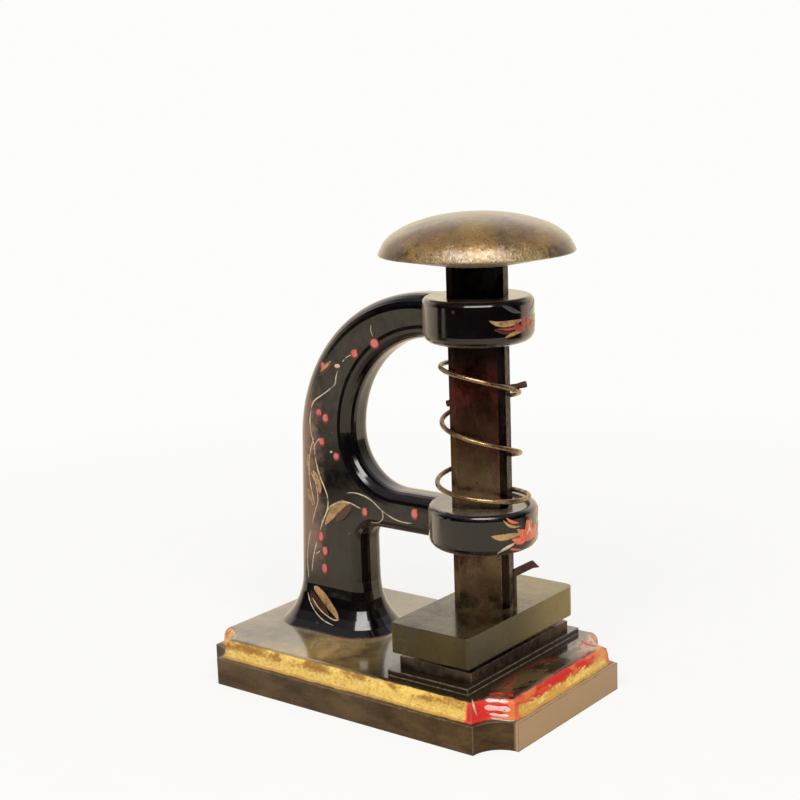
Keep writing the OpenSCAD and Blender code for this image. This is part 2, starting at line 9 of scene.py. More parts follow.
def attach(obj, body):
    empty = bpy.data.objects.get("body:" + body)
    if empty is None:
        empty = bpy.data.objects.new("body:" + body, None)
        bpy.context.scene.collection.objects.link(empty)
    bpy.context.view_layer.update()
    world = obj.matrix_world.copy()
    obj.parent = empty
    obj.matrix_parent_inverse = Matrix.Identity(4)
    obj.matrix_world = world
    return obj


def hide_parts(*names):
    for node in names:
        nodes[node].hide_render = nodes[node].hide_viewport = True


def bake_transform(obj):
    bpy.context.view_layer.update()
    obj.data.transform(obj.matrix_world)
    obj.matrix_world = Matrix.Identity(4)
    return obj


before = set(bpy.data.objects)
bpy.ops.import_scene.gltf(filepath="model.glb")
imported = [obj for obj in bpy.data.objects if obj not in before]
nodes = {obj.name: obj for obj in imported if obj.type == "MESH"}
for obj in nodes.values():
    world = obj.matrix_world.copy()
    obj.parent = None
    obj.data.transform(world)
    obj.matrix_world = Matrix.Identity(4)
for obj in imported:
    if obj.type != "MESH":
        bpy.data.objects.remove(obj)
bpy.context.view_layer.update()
mm = 0.001
print("frame loaded:", len(nodes), "nodes")

# The camera, fitted to the photograph's perspective: turn, pitch and roll in degrees, focal length in pixels.
cameraPose = {"turn": 37.936, "pitch": 11.658, "roll": -1.959, "focal": 1571.59,
              "place": (0.33273, -0.42835, 0.21603), "frame": 800, "film": 36.0}


def cameraAxes():
    # Right, up and forward vectors from the turn, pitch and roll.
    turn, pitch, roll = (math.radians(cameraPose[key]) for key in ("turn", "pitch", "roll"))
    forward = Vector((-math.sin(turn) * math.cos(pitch), math.cos(turn) * math.cos(pitch), -math.sin(pitch)))
    level = Vector((math.cos(turn), math.sin(turn), 0))
    upright = level.cross(forward)
    right = math.cos(roll) * level + math.sin(roll) * upright
    up = math.cos(roll) * upright - math.sin(roll) * level
    return right, up, forward


def newObject(name, data):
    made = bpy.data.objects.new(name, data)
    bpy.context.scene.collection.objects.link(made)
    return made


def addCamera():
    right, up, forward = cameraAxes()
    camera = newObject("camera", bpy.data.cameras.new("camera"))
    camera.data.sensor_width = cameraPose["film"]
    camera.data.lens = cameraPose["focal"] / cameraPose["frame"] * cameraPose["film"]
    camera.data.clip_start = 0.01
    turned = Matrix((right, up, -forward)).transposed().to_4x4()
    camera.matrix_world = Matrix.Translation(cameraPose["place"]) @ turned
    bpy.context.scene.camera = camera


addCamera()
bpy.context.scene.view_settings.view_transform = "Standard"


def paint(red, green, blue):
    # A screen colour of 0 to 255 as the linear colour a shader wants.
    raw = np.array([red, green, blue]) / 255
    linear = np.where(raw <= 0.04045, raw / 12.92, ((raw + 0.055) / 1.055) ** 2.4)
    return (*linear.tolist(), 1.0)


def fill(tree, node, values):
    # Each value is typed in or, if it is a socket, linked.
    for key, value in values.items():
        if isinstance(value, bpy.types.NodeSocket):
            tree.links.new(value, node.inputs[key])
        else:
            node.inputs[key].default_value = value
    return node


def put(tree, kind, values=None, **settings):
    node = tree.nodes.new("ShaderNode" + kind)
    for key, value in settings.items():
        setattr(node, key, value)
    return fill(tree, node, values or {})


def maths(tree, operation, first, second=0.0, clamp=False):
    return put(tree, "Math", {0: first, 1: second}, operation=operation, use_clamp=clamp).outputs[0]


def times(tree, first, second):
    return maths(tree, "MULTIPLY", first, second)


def plus(tree, first, second):
    return maths(tree, "ADD", first, second)


def minus(tree, first, second, clamp=False):
    return maths(tree, "SUBTRACT", first, second, clamp)


def axesOf(tree, place):
    return put(tree, "SeparateXYZ", {0: place}).outputs


def span(tree, value, low, high, toLow=0.0, toHigh=1.0):
    # Smooth step of a value between two bounds.
    return put(tree, "MapRange", {"Value": value, "From Min": low, "From Max": high, "To Min": toLow,
                                  "To Max": toHigh}, interpolation_type="SMOOTHSTEP").outputs[0]


def mixed(tree, amount, first, second, blend="MIX"):
    return put(tree, "Mix", {0: amount, 6: first, 7: second}, data_type="RGBA", blend_type=blend).outputs[2]


def toned(tree, amount, colour, tone):
    return mixed(tree, amount, colour, paint(*tone))


def noise(tree, place, scale, detail=4.0, rough=0.55, twist=0.0):
    return put(tree, "TexNoise", {"Vector": place, "Scale": scale, "Detail": detail, "Roughness": rough,
                                  "Distortion": twist}).outputs[0]


def stretched(tree, place, scale, turn=(0.0, 0.0, 0.0)):
    return put(tree, "Mapping", {"Vector": place, "Scale": scale, "Rotation": turn}).outputs[0]


def allOf(tree, *masks):
    total = masks[0]
    for mask in masks[1:]:
        total = times(tree, total, mask)
    return total


def startGroup(name, inputs, outputs):
    tree = bpy.data.node_groups.new(name, "ShaderNodeTree")
    for label, kind, value in inputs:
        socket = tree.interface.new_socket(label, in_out="INPUT", socket_type="NodeSocket" + kind)
        if value is not None:
            socket.default_value = value
    for label, kind in outputs:
        tree.interface.new_socket(label, in_out="OUTPUT", socket_type="NodeSocket" + kind)
    return tree, tree.nodes.new("NodeGroupInput").outputs, tree.nodes.new("NodeGroupOutput").inputs


def makeEdgeWear():
    # Mask of 1 on worn edges: where the normal, averaged over a width, turns away from the surface's own.
    tree, given, result = startGroup("edgeWear", [("Place", "Vector", None), ("Width", "Float", 0.0006),
                                                  ("Amount", "Float", 0.5), ("Grain", "Float", 600.0)],
                                     [("Mask", "Float"), ("Normal", "Vector")])
    eased = put(tree, "Bevel", {"Radius": given["Width"]}, samples=6).outputs[0]
    own = put(tree, "NewGeometry").outputs["Normal"]
    same = put(tree, "VectorMath", {0: eased, 1: own}, operation="DOT_PRODUCT").outputs["Value"]
    turned = minus(tree, 1.0, same)
    ragged = span(tree, noise(tree, given["Place"], given["Grain"], 5.0, 0.65), 0.35, 0.65, -0.12, 0.12)
    level = plus(tree, turned, times(tree, ragged, given["Amount"]))
    mask = times(tree, span(tree, level, 0.03, 0.12), span(tree, turned, 0.004, 0.03))
    tree.links.new(times(tree, mask, span(tree, given["Amount"], 0.0, 0.3)), result["Mask"])
    tree.links.new(eased, result["Normal"])
    return tree


def makePatches():
    # Soft-edged patches of two sizes of noise, above a threshold.
    tree, given, result = startGroup("patches", [("Place", "Vector", None), ("Scale", "Float", 60.0),
                                                 ("Cover", "Float", 0.5), ("Soft", "Float", 0.12)],
                                     [("Mask", "Float"), ("Fine", "Float")])
    large = noise(tree, given["Place"], given["Scale"], 3.0, 0.5, 0.4)
    small = noise(tree, given["Place"], times(tree, given["Scale"], 7.0), 5.0, 0.65)
    joined = plus(tree, times(tree, large, 0.72), times(tree, small, 0.28))
    edge = minus(tree, 0.68, times(tree, given["Cover"], 0.36))
    low = minus(tree, edge, given["Soft"])
    high = plus(tree, edge, given["Soft"])
    tree.links.new(span(tree, joined, low, high), result["Mask"])
    tree.links.new(small, result["Fine"])
    return tree


def makePits():
    # Scattered round pits: cells whose middle lies within a radius, on some of the cells only.
    tree, given, result = startGroup("pits", [("Place", "Vector", None), ("Scale", "Float", 400.0),
                                              ("Size", "Float", 0.3), ("Share", "Float", 0.4)], [("Mask", "Float")])
    cells = put(tree, "TexVoronoi", {"Vector": given["Place"], "Scale": given["Scale"]})
    pick = put(tree, "SeparateColor", {0: cells.outputs["Color"]}).outputs[0]
    chosen = maths(tree, "LESS_THAN", pick, given["Share"])
    inside = span(tree, cells.outputs["Distance"], given["Size"], times(tree, given["Size"], 0.3))
    tree.links.new(times(tree, chosen, inside), result["Mask"])
    return tree


def makeScratches():
    # Thin lines where a stretched noise crosses its middle value, broken up by a wider noise.
    tree, given, result = startGroup("scratches", [("Place", "Vector", None), ("Scale", "Float", 900.0),
                                                   ("Thin", "Float", 0.012), ("Breaks", "Float", 0.5)],
                                     [("Mask", "Float")])
    line = maths(tree, "ABSOLUTE", minus(tree, noise(tree, given["Place"], given["Scale"], 1.0), 0.5))
    thin = span(tree, line, given["Thin"], 0.0)
    gaps = noise(tree, given["Place"], times(tree, given["Scale"], 0.35), 3.0)
    tree.links.new(times(tree, thin, span(tree, gaps, given["Breaks"], 0.75)), result["Mask"])
    return tree


groups = {"edgeWear": makeEdgeWear(), "patches": makePatches(), "pits": makePits(), "scratches": makeScratches()}


def effect(tree, name, *values):
    # One of the groups, its values in the order of its inputs.
    node = tree.nodes.new("ShaderNodeGroup")
    node.node_tree = groups[name]
    return fill(tree, node, dict(enumerate(values))).outputs


def startMaterial(name, **plain):
    # A material with its Principled shader, whose constant values are typed on the shader itself.
    material = bpy.data.materials.new(name)
    material.use_nodes = True
    tree = material.node_tree
    shader = tree.nodes["Principled BSDF"]
    for key, value in plain.items():
        shader.inputs[key.replace("_", " ")].default_value = value
    return material, tree, shader, put(tree, "TexCoord").outputs["Object"]


def finishMaterial(tree, shader, colour, rough, height=None, depth=0.0, normal=None, metal=None, coat=None):
    tree.links.new(colour, shader.inputs["Base Color"])
    tree.links.new(rough, shader.inputs["Roughness"])
    if height is not None:
        bump = put(tree, "Bump", {"Height": height, "Distance": depth, "Strength": 1.0})
        if normal is not None:
            tree.links.new(normal, bump.inputs["Normal"])
        tree.links.new(bump.outputs[0], shader.inputs["Normal"])
    if metal is not None:
        tree.links.new(metal, shader.inputs["Metallic"])
    if coat is not None:
        tree.links.new(coat, shader.inputs["Coat Weight"])


def dress(name, material):
    for slot in nodes[name].material_slots:
        slot.material = material


japanLook = {"black": (6, 4, 9), "brown": (15, 10, 9), "worn": (70, 44, 32), "iron": (120, 108, 92),
             "dust": (116, 104, 84), "grazingSheen": (168, 146, 126), "rubbedAndLight": (150, 116, 98), "peel": 0.00003,
             "rubbedSheenAcross": (-0.025, -0.034), "rubbedSheenFrom": (0.032, 0.05), "rubbedSheenTo": (0.118, 0.09)}


def makeFrameJapan():
    material, tree, shader, place = startMaterial("frameJapan", IOR=1.46, Coat_Roughness=0.11, Coat_IOR=1.5)
    brown = effect(tree, "patches", place, 45.0, 0.42, 0.14)
    colour = toned(tree, brown["Mask"], paint(*japanLook["black"]), japanLook["brown"])
    wear = effect(tree, "edgeWear", place, 0.0009, 0.9, 420.0)
    colour = toned(tree, wear["Mask"], colour, japanLook["worn"])
    chips = effect(tree, "pits", place, 330.0, 0.3, 0.035)
    colour = toned(tree, chips["Mask"], colour, japanLook["worn"])
    hairs = effect(tree, "scratches", stretched(tree, place, (1, 1, 0.3), (0.4, 0.2, 0.1)), 260.0, 0.006, 0.52)
    colour = toned(tree, times(tree, hairs["Mask"], 0.2), colour, japanLook["dust"])
    # the outer side of the column is lighter, a dull rubbed brown that is partly a painted sheen
    axes = axesOf(tree, place)
    shifted = plus(tree, axes[0], times(tree, brown["Fine"], 0.012))
    rubbedAndLight = allOf(tree, span(tree, shifted, *japanLook["rubbedSheenAcross"]),
                   span(tree, axes[2], *japanLook["rubbedSheenFrom"]), span(tree, axes[2], *japanLook["rubbedSheenTo"]))
    colour = toned(tree, times(tree, rubbedAndLight, 0.65), colour, japanLook["rubbedAndLight"])
    rough = plus(tree, span(tree, brown["Fine"], 0.35, 0.7, 0.08, 0.2), times(tree, wear["Mask"], 0.3))
    peel = noise(tree, place, 230.0, 2.0)
    dings = noise(tree, place, 70.0, 2.0)
    height = plus(tree, peel, times(tree, dings, 7.0))
    height = minus(tree, height, times(tree, chips["Mask"], 1.5))
    # painted sheen: paler where the surface is seen at a slant, in patches
    slant = put(tree, "LayerWeight", {"Blend": 0.5}).outputs["Facing"]
    grazingSheen = times(tree, span(tree, slant, 0.3, 0.85, 0.0, 0.42), span(tree, brown["Fine"], 0.3, 0.6, 0.6))
    colour = toned(tree, grazingSheen, colour, japanLook["grazingSheen"])
    coat = span(tree, brown["Mask"], 0.0, 1.0, 0.85, 0.5)
    finishMaterial(tree, shader, colour, rough, height, japanLook["peel"], coat=coat)
    return material


baseLook = {"gold": (250, 212, 112), "goldDark": (160, 108, 44), "red": (206, 40, 34), "orange": (222, 116, 62),
            "ochre": (206, 150, 66), "top": (24, 14, 12), "olive": (172, 142, 86), "flake": (138, 28, 24),
            "peach": (214, 180, 128), "slab": (58, 40, 24), "slabPale": (98, 74, 44), "tan": (194, 160, 122),
            "goldFrom": 10.1, "goldTo": 16.2, "half": (67.5, 42.5), "notch": 15.5, "shaky": 0.0006,
            "rubbedShadeHeight": (0.0142, 0.0166), "shortSide": (0.0575, 0.0605), "redHeight": (0.0168, 0.0178),
            "farEnd": (0.018, -0.012), "flakedSide": (0.051, 0.058), "slabTop": (0.0108, 0.0099),
            "tanSide": (0.0655, 0.0672)}


def makeBaseJapan():
    # Black top, olive at the far end for worn varnish and a painted glare, gilt moulding by height with painted shade
    # on its upper part, red corners by place, brown slab below.
    material, tree, shader, place = startMaterial("baseJapan", IOR=1.6, Coat_Roughness=0.07, Coat_IOR=1.6)
    axes = axesOf(tree, place)
    shaky = times(tree, minus(tree, noise(tree, place, 160.0, 4.0), 0.5), baseLook["shaky"])
    height = plus(tree, axes[2], shaky)
    band = allOf(tree, span(tree, height, (baseLook["goldFrom"] - 0.2) * mm, (baseLook["goldFrom"] + 0.1) * mm),
                 span(tree, height, (baseLook["goldTo"] + 0.1) * mm, (baseLook["goldTo"] - 0.2) * mm))
    # gilding: darker in fine specks above, a painted shade on the steeper upper part of the moulding, bright below
    grimeAndShade = effect(tree, "patches", stretched(tree, place, (1.0, 1.0, 1.6)), 120.0, 0.5, 0.1)
    rubbedAndLight = span(tree, plus(tree, height, times(tree, grimeAndShade["Fine"], 0.004)), *baseLook["rubbedShadeHeight"], 0.12, 0.95)
    gold = toned(tree, times(tree, grimeAndShade["Mask"], rubbedAndLight), paint(*baseLook["gold"]), baseLook["goldDark"])
    grain = span(tree, noise(tree, place, 900.0, 4.0, 0.7), 0.45, 0.68, 0.0, 0.46)
    gold = toned(tree, grain, gold, baseLook["goldDark"])
    line = span(tree, height, (baseLook["goldFrom"] + 0.9) * mm, (baseLook["goldFrom"] + 0.3) * mm, 0.0, 0.6)
    gold = toned(tree, line, gold, baseLook["goldDark"])
    # the short sides: ochre, with red and orange brushed along the upper edge
    warm = effect(tree, "patches", stretched(tree, place, (1.3, 0.6, 1.6)), 75.0, 0.5, 0.05)
    redTone = toned(tree, warm["Mask"], paint(*baseLook["red"]), baseLook["orange"])
    short = allOf(tree, span(tree, maths(tree, "ABSOLUTE", axes[0]), *baseLook["shortSide"]),
                  span(tree, axes[0], -0.06, 0.0, 0.2))
    upper = span(tree, plus(tree, height, times(tree, warm["Fine"], 0.008)), *baseLook["redHeight"])
    sideTone = toned(tree, times(tree, warm["Mask"], 0.7), gold, baseLook["ochre"])
    sideTone = mixed(tree, upper, sideTone, redTone)
    near = [span(tree, maths(tree, "ABSOLUTE", axes[side]), (baseLook["half"][side] - baseLook["notch"]) * mm,
                 (baseLook["half"][side] - baseLook["notch"] + 1.5) * mm) for side in (0, 1)]
    corner = allOf(tree, *near, span(tree, axes[0], -0.06, 0.0, 0.2))
    gilt = mixed(tree, corner, mixed(tree, times(tree, short, span(tree, axes[1], 0.04, 0.02)), gold, sideTone),
                 redTone)
    # the top: black, with olive patches towards the far end for worn varnish and for a painted glare, flakes of red
    # and peach near the short sides
    worn = effect(tree, "patches", place, 26.0, 0.62, 0.18)
    farEnd = span(tree, axes[0], *baseLook["farEnd"], 0.04, 1.0)
    top = toned(tree, times(tree, worn["Mask"], farEnd), paint(*baseLook["top"]), baseLook["olive"])
    flecks = effect(tree, "patches", stretched(tree, place, (1.0, 0.4, 1.0)), 110.0, 0.42, 0.04)
    edge = span(tree, axes[0], *baseLook["flakedSide"])
    top = toned(tree, allOf(tree, flecks["Mask"], edge), top, baseLook["flake"])
    light = effect(tree, "patches", stretched(tree, place, (1.0, 0.5, 1.0), (0.0, 0.0, 0.9)), 110.0, 0.5, 0.05)
    pale = allOf(tree, light["Mask"], edge, span(tree, axes[1], 0.012, 0.03, 0.12, 0.8))
    top = toned(tree, pale, top, baseLook["peach"])
    slabTone = effect(tree, "patches", stretched(tree, place, (1.0, 1.0, 2.2)), 70.0, 0.45, 0.2)
    slab = toned(tree, slabTone["Mask"], paint(*baseLook["slab"]), baseLook["slabPale"])
    slab = toned(tree, times(tree, span(tree, axes[0], *baseLook["tanSide"]), 0.75), slab, baseLook["tan"])
    lower = span(tree, axes[2], *baseLook["slabTop"])
    colour = mixed(tree, lower, top, slab)
    flakes = effect(tree, "pits", stretched(tree, place, (0.6, 0.6, 1.3)), 1500.0, 0.42, 0.12)
    leaf = minus(tree, band, times(tree, flakes["Mask"], 0.6), clamp=True)
    colour = mixed(tree, leaf, colour, gilt)
    wear = effect(tree, "edgeWear", place, 0.0008, 0.8, 380.0)
    colour = toned(tree, times(tree, wear["Mask"], 0.8), colour, japanLook["iron"])
    rough = plus(tree, span(tree, grimeAndShade["Fine"], 0.3, 0.7, 0.08, 0.2),
                 times(tree, maths(tree, "MAXIMUM", leaf, lower), 0.22))
    bumps = plus(tree, noise(tree, place, 210.0, 3.0), times(tree, leaf, 0.5))
    bumps = minus(tree, bumps, flakes["Mask"])
    coat = minus(tree, 1.0, plus(tree, times(tree, leaf, 0.55), times(tree, lower, 0.9)), clamp=True)
    dull = times(tree, span(tree, axes[0], 0.008, 0.03), span(tree, axes[1], 0.034, 0.006))
    coat = times(tree, coat, minus(tree, 1.0, times(tree, dull, 0.85)))
    tree.links.new(minus(tree, 0.5, times(tree, dull, 0.3)), shader.inputs["Specular IOR Level"])
    metal = times(tree, times(tree, leaf, minus(tree, 1.0, corner)), 0.12)
    finishMaterial(tree, shader, colour, rough, bumps, 0.00004, wear["Normal"], metal, coat)
    return material


steelLook = {
    # dark, pale, rust, roughness low and high, grain scale, rust cover, direction of the scratches, metal
    "barSteel": ((86, 68, 52), (164, 144, 118), (66, 26, 16), 0.2, 0.4, 55.0, 0.42, (1.0, 1.0, 0.12), 0.97),
    "plateSteel": ((66, 56, 30), (118, 102, 54), (54, 42, 24), 0.2, 0.34, 40.0, 0.3, (0.2, 1.0, 1.0), 0.95),
    "dieSteel": ((68, 58, 52), (186, 158, 138), (60, 38, 30), 0.22, 0.4, 60.0, 0.3, (1.0, 0.2, 1.0), 0.9),
    "springWire": ((130, 102, 74), (232, 204, 156), (96, 56, 32), 0.2, 0.34, 120.0, 0.3, (1.0, 1.0, 1.0), 0.95),
    "rustySteel": ((34, 25, 20), (110, 92, 74), (84, 44, 24), 0.4, 0.65, 90.0, 0.55, (1.0, 1.0, 1.0), 0.6),
    "screwSteel": ((92, 84, 72), (168, 158, 140), (84, 54, 34), 0.28, 0.45, 90.0, 0.3, (1.0, 1.0, 1.0), 0.9),
    "dowelSteel": ((110, 104, 96), (186, 178, 164), (92, 66, 44), 0.25, 0.4, 90.0, 0.2, (1.0, 1.0, 1.0), 0.95),
}

steelExtra = {"barSteel": {"Specular_Tint": (0.3, 0.26, 0.24, 1.0)},
              "plateSteel": {"Coat_Weight": 0.6, "Coat_Roughness": 0.14, "Coat_IOR": 1.6}}

steelTones = {"ruddy": (86, 30, 24), "plateGlare": (146, 128, 72), "darkReflectionHeight": (0.07, 0.12),
              "ruddyFrom": (0.084, 0.094), "ruddyTo": (0.128, 0.112), "plateAlong": (-0.014, 0.026)}


def makeSteel(name):
    # Worn old steel: dark skin, pale bare edges and scratches, rust in patches and pits.
    dark, pale, rust, smooth, coarse, scale, cover, lay, metalness = steelLook[name]
    material, tree, shader, place = startMaterial(name, **steelExtra.get(name, {}))
    skin = effect(tree, "patches", place, scale, 0.42, 0.2)
    colour = toned(tree, times(tree, skin["Mask"], 0.55), paint(*dark), pale)
    rusty = effect(tree, "patches", stretched(tree, place, (1.0, 1.0, 0.6), (0.3, 0.5, 0.2)), scale * 1.7, cover,
                   0.07)
    colour = toned(tree, times(tree, rusty["Mask"], 0.8), colour, rust)
    lines = effect(tree, "scratches", stretched(tree, place, lay, (0.03, 0.05, 0.02)), 900.0, 0.02, 0.45)
    colour = toned(tree, times(tree, lines["Mask"], 0.5), colour, pale)
    wear = effect(tree, "edgeWear", place, 0.0005, 0.7, 700.0)
    colour = toned(tree, times(tree, wear["Mask"], 0.75), colour, pale)
    holes = effect(tree, "pits", place, 700.0, 0.32, 0.22)
    colour = toned(tree, times(tree, holes["Mask"], 0.7), colour, rust)
    if name == "barSteel":  # black higher up as a painted dark reflection, fading out towards the foot
        level = axesOf(tree, place)[2]
        colour = toned(tree, span(tree, level, *steelTones["darkReflectionHeight"], 0.0, 0.92), colour, japanLook["black"])
        ruddy = allOf(tree, span(tree, level, *steelTones["ruddyFrom"]), span(tree, level, *steelTones["ruddyTo"]),
                      skin["Mask"])
        colour = toned(tree, times(tree, ruddy, 0.8), colour, steelTones["ruddy"])
        # painted dark reflection: the face turned towards +X is darker
        facing = axesOf(tree, put(tree, "TexCoord").outputs["Normal"])[0]
        colour = toned(tree, span(tree, facing, 0.6, 0.8, 0.0, 0.85), colour, japanLook["brown"])
    if name == "plateSteel":  # paler towards the far end, a painted glare
        along = axesOf(tree, place)[1]
        colour = toned(tree, span(tree, along, *steelTones["plateAlong"], 0.0, 0.85), colour, steelTones["plateGlare"])
    rough = plus(tree, span(tree, skin["Fine"], 0.3, 0.7, smooth, coarse), times(tree, rusty["Mask"], 0.2))
    height = minus(tree, plus(tree, noise(tree, place, 300.0, 4.0), rusty["Mask"]),
                   plus(tree, times(tree, lines["Mask"], 0.4), holes["Mask"]))
    metal = minus(tree, metalness, times(tree, rusty["Mask"], metalness * 0.6))
    finishMaterial(tree, shader, colour, rough, height, 0.000025, wear["Normal"], metal)
    return material


knobLook = {"bronze": (188, 142, 52), "dark": (70, 50, 30), "pale": (226, 214, 186), "rust": (112, 72, 52),
            "grimeAndShade": (58, 42, 38), "front": (0.614, 0.789), "glintSide": (0.040, 0.050), "rim": (0.1645, 0.158)}


def makeKnobIron():
    # Cast iron with worn bronzing: golden brown skin, dark specks, pale rubbed grains, with a painted dark reflection
    # on the rim except towards the camera, a painted pale glint there and a painted pale reflection where the dome is
    # seen at a slant.
    material, tree, shader, place = startMaterial("knobIron", Metallic=0.8, Coat_Weight=1.0, Coat_Roughness=0.36,
                                                  Coat_IOR=1.7)
    skin = effect(tree, "patches", place, 60.0, 0.34, 0.22)
    colour = toned(tree, skin["Mask"], paint(*knobLook["bronze"]), knobLook["dark"])
    grains = noise(tree, place, 1500.0, 5.0, 0.7)
    colour = toned(tree, span(tree, grains, 0.56, 0.72, 0.0, 0.7), colour, knobLook["pale"])
    rusty = effect(tree, "patches", place, 110.0, 0.3, 0.1)
    colour = toned(tree, times(tree, rusty["Mask"], 0.6), colour, knobLook["rust"])
    specks = effect(tree, "pits", place, 900.0, 0.4, 0.3)
    colour = toned(tree, times(tree, specks["Mask"], 0.7), colour, knobLook["dark"])
    wear = effect(tree, "edgeWear", place, 0.0008, 0.8, 500.0)
    colour = toned(tree, times(tree, wear["Mask"], 0.5), colour, knobLook["pale"])
    # painted dark reflection on the rim all round, except on the front towards the camera, where pale grains are a
    # painted glint
    axes = axesOf(tree, place)
    ragged = span(tree, skin["Fine"], 0.3, 0.7, -0.0025, 0.0025)
    rim = span(tree, plus(tree, axes[2], ragged), *knobLook["rim"])
    front = minus(tree, times(tree, axes[0], knobLook["front"][0]), times(tree, axes[1], knobLook["front"][1]))
    glintSide = span(tree, plus(tree, front, ragged), *knobLook["glintSide"])
    grimeAndShade = allOf(tree, rim, minus(tree, 1.0, glintSide))
    colour = toned(tree, times(tree, grimeAndShade, 0.9), colour, knobLook["grimeAndShade"])
    rubbedAndLight = span(tree, grains, 0.35, 0.6, 0.0, 0.5)
    colour = toned(tree, allOf(tree, rim, glintSide, rubbedAndLight), colour, knobLook["pale"])
    # painted reflection: paler where the dome is seen at a slant
    slant = put(tree, "LayerWeight", {"Blend": 0.5}).outputs["Facing"]
    colour = toned(tree, span(tree, slant, 0.55, 0.92, 0.0, 0.8), colour, knobLook["pale"])
    rough = span(tree, skin["Fine"], 0.3, 0.7, 0.4, 0.58)
    height = plus(tree, noise(tree, place, 700.0, 4.0, 0.6), times(tree, grains, 0.6))
    height = minus(tree, height, times(tree, specks["Mask"], 0.8))
    finishMaterial(tree, shader, colour, rough, height, 0.00026)
    return material


paintLook = {
    # body, shade, roughness
    "creamPaintAndGlint": ((206, 190, 158), (128, 104, 76), 0.32),
    "leafPaint": ((176, 136, 84), (96, 58, 26), 0.34),
    "berryPaint": ((214, 104, 98), (170, 50, 48), 0.26),
    "berryShade": ((118, 26, 26), (62, 14, 14), 0.26),
    "flowerPaint": ((224, 104, 70), (172, 58, 34), 0.3),
    "emberPaint": ((166, 62, 42), (92, 30, 20), 0.3),
    "ghostPaint": ((70, 72, 86), (30, 30, 40), 0.3),
    "rustPaint": ((74, 36, 22), (34, 18, 14), 0.2),
    "redPaint": ((216, 40, 36), (170, 26, 26), 0.2),
    "pinkPaintAndGlint": ((242, 196, 186), (226, 110, 104), 0.2),
}


def makePaint(name):
    # Old brushed oil paint: two tones in fine patches, small cracks and a soft gloss.
    body, shade, smooth = paintLook[name]
    material, tree, shader, place = startMaterial(name, Coat_Weight=0.6, Coat_Roughness=0.15, IOR=1.6)
    tones = effect(tree, "patches", place, 330.0, 0.42, 0.16)
    colour = toned(tree, times(tree, tones["Mask"], 0.6), paint(*body), shade)
    worn = effect(tree, "patches", place, 800.0, 0.22, 0.05)
    colour = toned(tree, times(tree, worn["Mask"], 0.75), colour, japanLook["brown"])
    rough = span(tree, tones["Fine"], 0.3, 0.7, smooth, smooth + 0.2)
    finishMaterial(tree, shader, colour, rough, noise(tree, place, 1800.0, 3.0), 0.00003)
    return material


finishes = {name: makeSteel(name) for name in steelLook}
finishes.update({name: makePaint(name) for name in paintLook})
finishes.update({"frameJapan": makeFrameJapan(), "baseJapan": makeBaseJapan(), "knobIron": makeKnobIron()})

dressing = {"frame": "frameJapan", "base": "baseJapan", "frame_screws": "screwSteel", "frame_washers": "screwSteel",
            "foot_dowels": "dowelSteel", "lower_die": "dieSteel", "lower_die_screws": "screwSteel",
            "lower_die_dowels": "dowelSteel", "spring": "springWire", "plunger_bar": "barSteel",
            "spring_pin": "rustySteel", "knob": "knobIron", "knob_stud": "screwSteel", "presser_plate": "plateSteel",
            "presser_screw": "screwSteel", "presser_dowels": "dowelSteel", "upper_die": "dieSteel",
            "upper_die_screws": "screwSteel", "upper_die_dowels": "dowelSteel", "guide_strip": "rustySteel"}
for nodeName, finishName in dressing.items():
    dress(nodeName, finishes[finishName])
print("materials made:", len(finishes))

# Worn edges in the geometry of the steel blocks: width of the rounding in millimetres, segments.
easedEdges = {"presser_plate": (0.55, 3), "lower_die": (0.3, 2), "guide_strip": (0.15, 2)}
for nodeName, (width, segments) in easedEdges.items():
    weld = nodes[nodeName].modifiers.new("weld", "WELD")
    weld.merge_threshold = 1e-6
    ease = nodes[nodeName].modifiers.new("ease", "BEVEL")
    ease.width, ease.segments, ease.limit_method, ease.angle_limit = width * mm, segments, "ANGLE", math.radians(50)
    ease.use_clamp_overlap, ease.harden_normals = True, True


def ringQuads(rows, columns, closedRows=False):
    # Quads of a grid whose columns close on themselves.
    row = np.arange(rows if closedRows else rows - 1)[:, None]
    column = np.arange(columns)[None, :]
    below, beside = (row + 1) % rows, (column + 1) % columns
    corners = (row * columns + column, row * columns + beside, below * columns + beside, below * columns + column)
    return np.stack(corners, axis=-1).reshape(-1, 4)


def addPiece(name, points, quads, finish, body):
    # A mesh from whole arrays, with coincident points merged and faces turned outward.
    mesh = bpy.data.meshes.new(name)
    mesh.from_pydata(points.reshape(-1, 3).tolist(), [], quads.tolist())
    shell = bmesh.new()
    shell.from_mesh(mesh)
    bmesh.ops.remove_doubles(shell, verts=shell.verts, dist=1e-7)
    bmesh.ops.dissolve_degenerate(shell, edges=shell.edges, dist=1e-7)
    bmesh.ops.recalc_face_normals(shell, faces=shell.faces)
    shell.to_mesh(mesh)
    shell.free()
    mesh.shade_smooth()
    piece = newObject(name, mesh)
    mesh.materials.append(finishes[finish])
    if body:
        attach(piece, body)
    return piece


knobShape = {"axis": (33.3, 0.0), "foot": 154.0, "seat": 13.6, "rim": 32.5, "rimHeight": 4.1, "edge": 0.6,
             "dome": 13.1, "around": 220, "sink": 0.16}


